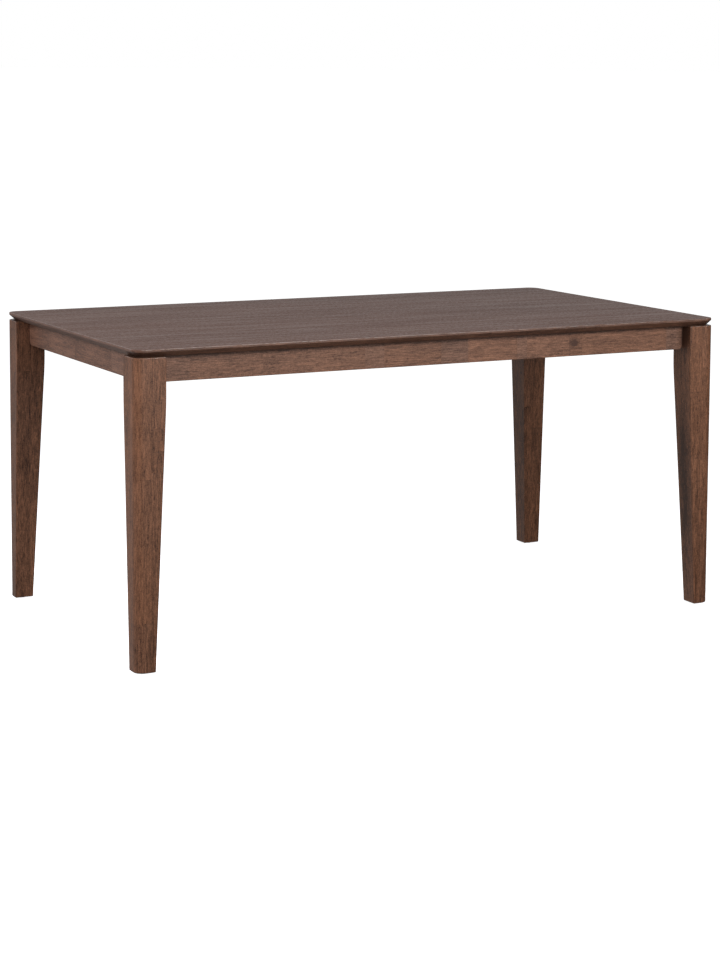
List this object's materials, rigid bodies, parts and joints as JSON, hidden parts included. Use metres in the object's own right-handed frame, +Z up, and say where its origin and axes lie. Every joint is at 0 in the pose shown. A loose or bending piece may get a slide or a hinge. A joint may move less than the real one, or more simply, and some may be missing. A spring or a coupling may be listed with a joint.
{
  "type": "dining table",
  "caption": "Rectangular dining table with a thin bevelled-edge top, low set-back aprons and four tapered legs flush with its corners.",
  "frame": {"origin": "on the floor under the centre of the top", "axes": "+X along the table's length, +Y across its width away from the front, +Z up"},
  "size_m": [1.6, 0.9, 0.75],
  "materials": {
    "core_board": "dense fibreboard, hidden between the veneers",
    "face_veneer": "stained, low-sheen lacquer, fine straight grain",
    "backing_veneer": "stained and sealed, matt",
    "top_lipping": "stained, low-sheen lacquer",
    "stained_leg": "stained, low-sheen lacquer, finger-jointed blocks",
    "stained_apron": "stained, low-sheen lacquer, finger-jointed blocks",
    "plain_wood": "planed, unstained",
    "dowel_wood": "turned hardwood",
    "zinc_steel": "zinc plated",
    "glide_nylon": "moulded nylon"
  },
  "bodies": {
    "root": {"top_core_panel": "core_board", "face_veneer": "face_veneer", "backing_veneer": "backing_veneer", "front_lipping": "top_lipping", "back_lipping": "top_lipping", "left_lipping": "top_lipping", "right_lipping": "top_lipping", "front_left_leg": "stained_leg", "front_right_leg": "stained_leg", "back_right_leg": "stained_leg", "back_left_leg": "stained_leg", "front_apron": "stained_apron", "back_apron": "stained_apron", "left_apron": "stained_apron", "right_apron": "stained_apron", "cross_rail": "plain_wood", "front_left_corner_block": "plain_wood", "front_right_corner_block": "plain_wood", "back_right_corner_block": "plain_wood", "back_left_corner_block": "plain_wood", "hanger_bolts": "zinc_steel", "bolt_washers": "zinc_steel", "bolt_nuts": "zinc_steel", "corner_block_screws": "zinc_steel", "apron_dowels": "dowel_wood", "cross_rail_dowels": "dowel_wood", "cross_rail_screws": "zinc_steel", "top_brackets": "zinc_steel", "bracket_screws": "zinc_steel", "foot_glides": "glide_nylon", "glide_nails": "zinc_steel"}
  },
  "joints": []
}
